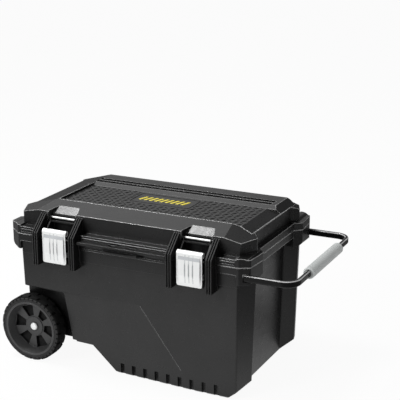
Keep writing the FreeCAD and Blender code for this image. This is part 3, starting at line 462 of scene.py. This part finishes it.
by_slot = {
    "chest_plastic": chest_mat, "tray_plastic": tray_mat, "hub_plastic": hub_mat, "tyre_rubber": tyre_mat,
    "guide_plastic": guide_mat, "grip_rubber": grip_mat, "handle_paint": handle_mat,
    "bright_steel": bright_mat, "pin_steel": pin_mat,
}
slot_of = {p["node"]: p["material_slot"] for p in frame["record"]["subparts"]}
for name, obj in nodes.items():
    obj.data.materials.clear()
    obj.data.materials.append(by_slot[slot_of[name]])


# Shape helpers

def skin(bm, rings, loop=False):
    """Faces between rings of points, with the ends closed unless the rings themselves run in a loop."""
    rows = [[bm.verts.new(point) for point in ring] for ring in rings]
    pairs = list(zip(rows, rows[1:]))
    if loop:
        pairs.append((rows[-1], rows[0]))
    else:
        bm.faces.new(rows[0])
        bm.faces.new(rows[-1])
    count = len(rows[0])
    for first, second in pairs:
        for i in range(count):
            k = (i + 1) % count
            bm.faces.new((first[i], first[k], second[k], second[i]))


def raised(bm, outline, low, high, top_share):
    """Low solid with sloped sides: an outline at the foot and a smaller one on top."""
    middle = sum((Vector(p) for p in outline), Vector((0, 0))) / len(outline)
    foot = []
    head = []
    for point in outline:
        shrunk = middle + (Vector(point) - middle) * top_share
        foot.append((*point, low))
        head.append((*shrunk, high))
    skin(bm, [foot, head])


def bead(bm, path, half_wide, tall, out=(0, 0, 1)):
    """Low moulded ridge with a flat top along a line of points, standing out in one direction."""
    out = Vector(out)
    half_top = half_wide * 0.5
    section = [
        (half_wide, -tall), (half_wide, 0), (half_top, tall),
        (-half_top, tall), (-half_wide, 0), (-half_wide, -tall),
    ]
    rings = []
    for i, point in enumerate(path):
        run = Vector(path[min(i + 1, len(path) - 1)]) - Vector(path[max(i - 1, 0)])
        side = run.cross(out).normalized()
        rings.append([Vector(point) + side * across + out * up for across, up in section])
    skin(bm, rings)


def plate_strip(bm, left, right, path):
    """Thin strip on a plate's bowed face, between two X along a path of Y and Z."""
    proud, sunk = 0.0002, 0.0003
    rings = []
    for y, z in path:
        near, far = y - proud, y + sunk
        rings.append([(left, near, z), (right, near, z), (right, far, z), (left, far, z)])
    skin(bm, rings)


def piece(name, bm, material, body):
    """Object from a bmesh, riding on a body."""
    bmesh.ops.recalc_face_normals(bm, faces=bm.faces)
    mesh = bpy.data.meshes.new(name)
    bm.to_mesh(mesh)
    bm.free()
    mesh.materials.append(material)
    obj = bpy.data.objects.new(name, mesh)
    bpy.context.collection.objects.link(obj)
    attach(obj, body)


# Details of the lid's top

def panel_tread():
    """Field of slanted lozenges on the panel, with a plain patch in its middle."""
    pitch, columns, rows = 0.016, 32, 10
    first_x, first_y = -0.234, -0.1025
    half_long, half_wide, shoulder = 0.0084, 0.0026, 0.0036
    tall, top_share, patch_gap = 0.0012, 0.55, 0.009
    slant = math.radians(45)
    outline = [
        (-half_long, 0), (-shoulder, -half_wide), (shoulder, -half_wide),
        (half_long, 0), (shoulder, half_wide), (-shoulder, half_wide),
    ]
    bm = bmesh.new()
    for i in range(columns):
        for j in range(rows):
            x = first_x + i * pitch
            y = first_y + j * pitch
            if PATCH_LEFT - patch_gap < x < PATCH_RIGHT + patch_gap and abs(y) < PATCH_HALF + patch_gap:
                continue
            turn = Matrix.Rotation(slant if (i + j) % 2 else -slant, 2)
            points = [turn @ Vector(p) + Vector((x, y)) for p in outline]
            raised(bm, points, PANEL_Z, PANEL_Z + tall, top_share)
    # The lozenges take the darker plastic, as painted shade.
    piece("panel_tread", bm, tread_shade_mat, "lid")


def patch_frame():
    """Low border with a flat top round the plain patch."""
    wide, tall, cut = 0.0022, 0.0009, 0.004
    top_start, top_end = wide * 0.3, wide * 0.7
    rings = []
    for inset, up in ((0, 0), (top_start, tall), (top_end, tall), (wide, 0)):
        left, right, half = PATCH_LEFT + inset, PATCH_RIGHT - inset, PATCH_HALF - inset
        corners = [
            (left + cut, -half), (right - cut, -half), (right, cut - half), (right, half - cut),
            (right - cut, half), (left + cut, half), (left, half - cut), (left, cut - half),
        ]
        rings.append([(x, y, PANEL_Z + up) for x, y in corners])
    bm = bmesh.new()
    skin(bm, rings, loop=True)
    piece("patch_frame", bm, tread_shade_mat, "lid")


def patch_bars():
    """Plain slanted bars in the middle of the patch."""
    count, first_x, pitch = 9, -0.056, 0.0153
    half_deep, outer, inner = 0.014, 0.009, 0.001
    tall, top_share = 0.0006, 0.94
    bm = bmesh.new()
    for i in range(count):
        x = first_x + i * pitch
        outline = [
            (x - outer, -half_deep), (x - inner, -half_deep),
            (x + outer, half_deep), (x + inner, half_deep),
        ]
        raised(bm, outline, PANEL_Z, PANEL_Z + tall, top_share)
    piece("patch_bars", bm, mark_mat, "lid")


def groove_faces():
    """Near-black faces on the far walls of the two grooves along the back bar: sheets of painted shade."""
    left, right = -0.2478, 0.2738
    walls = (0.086, 0.107)
    low_z, high_z, lean, proud = 0.4217, 0.4259, 0.0015, 0.0002
    bm = bmesh.new()
    for wall in walls:
        low_y = wall - lean - proud
        high_y = wall - proud
        near = [
            (left, low_y, low_z), (right, low_y, low_z),
            (right, high_y, high_z), (left, high_y, high_z),
        ]
        far = [(x, y + proud, z) for x, y, z in near]
        skin(bm, [near, far])
    piece("groove_faces", bm, shade_sheet_mat, "lid")


def lid_beads():
    """Beads along the panel's front lip, the pull end's top edge and the panel's left rim."""
    lip_left, lip_right = -0.243, 0.25
    lip_y, lip_z = -0.1146, 0.4241
    bend = (0.271, -0.1136, 0.42)
    corner_x, end_x, end_z = 0.3088, 0.3085, 0.4103
    end_near, end_far = -0.1296, 0.117
    rim_x, rim_z = -0.2465, 0.4238
    rim_near, rim_far = -0.112, 0.05
    edge_half, edge_tall = 0.0014, 0.0009
    rim_half, rim_tall = 0.0028, 0.0012
    lip = [(lip_left, lip_y, lip_z), (lip_right, lip_y, lip_z), bend, (corner_x, end_near, end_z)]
    bm = bmesh.new()
    bead(bm, lip, edge_half, edge_tall)
    bead(bm, [(end_x, end_near, end_z), (end_x, end_far, end_z)], edge_half, edge_tall)
    bead(bm, [(rim_x, rim_near, rim_z), (rim_x, rim_far, rim_z)], rim_half, rim_tall)
    piece("lid_beads", bm, chest_mat, "lid")


# Details of the front

def crease_ridge():
    """Fine ridge along the slanted crease of the tub's front wall."""
    draft = 0.008
    foot_x, top_x, top_z = 0.188, 0.038, 0.206
    start_z, end_z = 0.05, 0.204
    half_wide, tall = 0.0011, 0.0003
    path = []
    for z in (start_z, end_z):
        x = foot_x + (top_x - foot_x) * z / top_z
        y = draft * (RIM_Z - z) / RIM_Z - HALF_DEPTH
        path.append((x, y, z))
    bm = bmesh.new()
    bead(bm, path, half_wide, tall, (0, -1, 0))
    piece("crease_ridge", bm, strip_mat, "tub")


def plate_shade_marks(body, middle):
    """Darker lines and a darker band on one latch plate: painted shade of its pressed shape."""
    line_pitch, line_half, band_half = 0.0105, 0.0006, 0.0285
    line = [(-0.2316, 0.3), (-0.234, 0.319), (-0.234, 0.3436), (-0.2312, 0.3695)]
    band = [(-0.2325, 0.3575), (-0.23163, 0.3655)]
    bm = bmesh.new()
    for i in (-1, 0, 1):
        x = middle + i * line_pitch
        plate_strip(bm, x - line_half, x + line_half, line)
    plate_strip(bm, middle - band_half, middle + band_half, band)
    piece("plate_marks_" + body, bm, plate_shade_mat, body)


def tab_gap():
    """Near-black face in the gap above the padlock tab: a sheet of painted shade."""
    near, far, half = -0.2343, -0.2338, 0.047
    top_z, left_z, right_z = 0.3502, 0.3478, 0.3485
    low_left, low_right, low_z = -0.036, 0.02, 0.3455
    outline = [
        (-half, left_z), (low_left, low_z), (low_right, low_z),
        (half, right_z), (half, top_z), (-half, top_z),
    ]
    bm = bmesh.new()
    skin(bm, [[(x, y, z) for x, z in outline] for y in (near, far)])
    piece("tab_gap", bm, shade_sheet_mat, "tub")


def flange_strips(body, heights, spans):
    """Long low ridges along the front of one flange, clear of the latch brackets."""
    foot, head = FLANGE_Y + 0.0005, FLANGE_Y - 0.0014
    half_foot, half_head = 0.0017, 0.0006
    section = [(foot, -half_foot), (head, -half_head), (head, half_head), (foot, half_foot)]
    bm = bmesh.new()
    for z in heights:
        for span in spans:
            skin(bm, [[(x, y, z + up) for y, up in section] for x in span])
    piece("flange_strips_" + body, bm, strip_mat, body)


LID_STRIPS = (0.3565, 0.363)
TUB_STRIPS = (0.337, 0.3435)
LEFT_SPAN = (-0.3, -0.262)
MIDDLE_SPAN = (-0.118, 0.118)
RIGHT_SPAN = (0.262, 0.3)

panel_tread()
groove_faces()
lid_beads()
crease_ridge()
plate_shade_marks("latch_left", -LATCH_X)
plate_shade_marks("latch_right", LATCH_X)
tab_gap()
patch_frame()
flange_strips("lid", LID_STRIPS, (LEFT_SPAN, MIDDLE_SPAN, RIGHT_SPAN))
flange_strips("tub", TUB_STRIPS, (MIDDLE_SPAN,))
patch_bars()


# Floor, world, lamps and camera

WHITE = (1.0, 1.0, 1.0, 1.0)
PALE = (0.9, 0.9, 0.9, 1.0)


def seen_directly(tree):
    """Light path outputs: camera or transmission rays together, and glossy rays."""
    path = tree.nodes.new("ShaderNodeLightPath")
    direct = math_node(tree, "MAXIMUM", path.outputs["Is Camera Ray"], path.outputs["Is Transmission Ray"])
    return direct, path.outputs["Is Glossy Ray"]


def glow_round(tree, coord, centre, level, start, end):
    """Level round a point of the floor, falling to almost nothing between two distances from it."""
    far_level = 0.03
    node = tree.nodes.new("ShaderNodeVectorMath")
    node.operation = "DISTANCE"
    tree.links.new(coord, node.inputs[0])
    node.inputs[1].default_value = centre
    return spread(tree, node.outputs["Value"], level, far_level, start, end)


def floor_material():
    """Plain white where it is seen, with a shadow, and in reflections dark away from two places."""
    glossy_share, direct_share = 0.8, 0.93
    mat = bpy.data.materials.new("floor_pale")
    tree = empty_tree(mat)
    out = tree.nodes.new("ShaderNodeOutputMaterial")
    matte = tree.nodes.new("ShaderNodeBsdfDiffuse")
    matte.inputs["Color"].default_value = PALE
    direct, glossy = seen_directly(tree)
    coord = object_coord(tree)
    front = glow_round(tree, coord, centre=(-0.1, -0.35, 0.0), level=0.85, start=0.45, end=0.95)
    beyond = glow_round(tree, coord, centre=(0.5, 0.68, 0.0), level=0.6, start=0.12, end=0.4)
    reflected = product(tree, glossy, math_node(tree, "MAXIMUM", front, beyond))
    strength = math_node(tree, "MINIMUM", math_node(tree, "ADD", direct, reflected), 1.0)
    glow = tree.nodes.new("ShaderNodeEmission")
    glow.inputs["Color"].default_value = WHITE
    tree.links.new(strength, glow.inputs["Strength"])
    glossy_part = product(tree, glossy, glossy_share)
    direct_part = product(tree, direct, direct_share)
    blend = tree.nodes.new("ShaderNodeMixShader")
    tree.links.new(math_node(tree, "MAXIMUM", glossy_part, direct_part), blend.inputs["Fac"])
    tree.links.new(matte.outputs["BSDF"], blend.inputs[1])
    tree.links.new(glow.outputs["Emission"], blend.inputs[2])
    tree.links.new(blend.outputs["Shader"], out.inputs["Surface"])
    return mat


def make_floor():
    """Large pale floor under the object."""
    half = 30.0
    mesh = bpy.data.meshes.new("floor")
    corners = [(-half, -half, 0), (half, -half, 0), (half, half, 0), (-half, half, 0)]
    mesh.from_pydata(corners, [], [(0, 1, 2, 3)])
    mesh.materials.append(floor_material())
    obj = bpy.data.objects.new("floor", mesh)
    bpy.context.collection.objects.link(obj)


def make_world():
    """Studio: plain white where it is seen, and in reflections dim low down and on the handle's side."""
    diffuse_level = 0.5
    horizon_level, sky_level, top_level = 0.1, 0.8, 1.6
    sky_rise, top_rise = (0.18, 0.38), (0.68, 0.82)
    handle_share, handle_side = 0.15, (-0.36, -0.24)
    world = bpy.data.worlds.new("studio")
    bpy.context.scene.world = world
    tree = empty_tree(world)
    out = tree.nodes.new("ShaderNodeOutputWorld")
    direct, glossy = seen_directly(tree)
    x, _, z = axes(tree, tree.nodes.new("ShaderNodeTexCoord").outputs["Generated"])
    sky = spread(tree, z, horizon_level, sky_level, *sky_rise)
    sky = math_node(tree, "ADD", sky, spread(tree, z, 0.0, top_level, *top_rise))
    sky = product(tree, sky, spread(tree, x, 1.0, handle_share, *handle_side))
    reflected = product(tree, glossy, math_node(tree, "SUBTRACT", sky, diffuse_level))
    strength = math_node(tree, "ADD", reflected, spread(tree, direct, diffuse_level, 1.0))
    back = tree.nodes.new("ShaderNodeBackground")
    back.inputs["Color"].default_value = WHITE
    tree.links.new(strength, back.inputs["Strength"])
    tree.links.new(back.outputs["Background"], out.inputs["Surface"])


def area(name, place, target, size, power):
    """Square soft lamp aimed at a point."""
    data = bpy.data.lights.new(name, "AREA")
    data.shape = "SQUARE"
    data.size = size
    data.energy = power
    obj = bpy.data.objects.new(name, data)
    obj.location = place
    obj.rotation_euler = (Vector(target) - Vector(place)).to_track_quat("-Z", "Y").to_euler()
    bpy.context.collection.objects.link(obj)


def make_camera():
    """Camera at the photograph's viewing angle, for a square picture."""
    azimuth = math.radians(25.84)
    elevation = math.radians(17.07)
    place = (1.3268, -2.5180, 1.2590)
    picture = 400.0
    focal_pixels = 1139.27
    centre_right, centre_down = 200.08, 213.35
    level = math.cos(elevation)
    away = Vector((math.sin(azimuth) * level, -math.cos(azimuth) * level, math.sin(elevation)))
    data = bpy.data.cameras.new("camera")
    data.sensor_width = 36.0
    data.lens = data.sensor_width * focal_pixels / picture
    data.shift_x = (picture / 2 - centre_right) / picture
    data.shift_y = (centre_down - picture / 2) / picture
    data.clip_end = 100.0
    obj = bpy.data.objects.new("camera", data)
    obj.location = place
    obj.rotation_euler = (-away).to_track_quat("-Z", "Y").to_euler()
    bpy.context.collection.objects.link(obj)
    bpy.context.scene.camera = obj


make_floor()
make_world()
area("key", place=(-1.25, -0.25, 2.9), target=(0, -0.1, 0.4), size=0.7, power=46.0)
area("front", place=(-1.4, -2.9, 2.0), target=(0, -0.2, 0.3), size=1.0, power=45.0)
make_camera()
bpy.context.scene.view_settings.view_transform = "Standard"
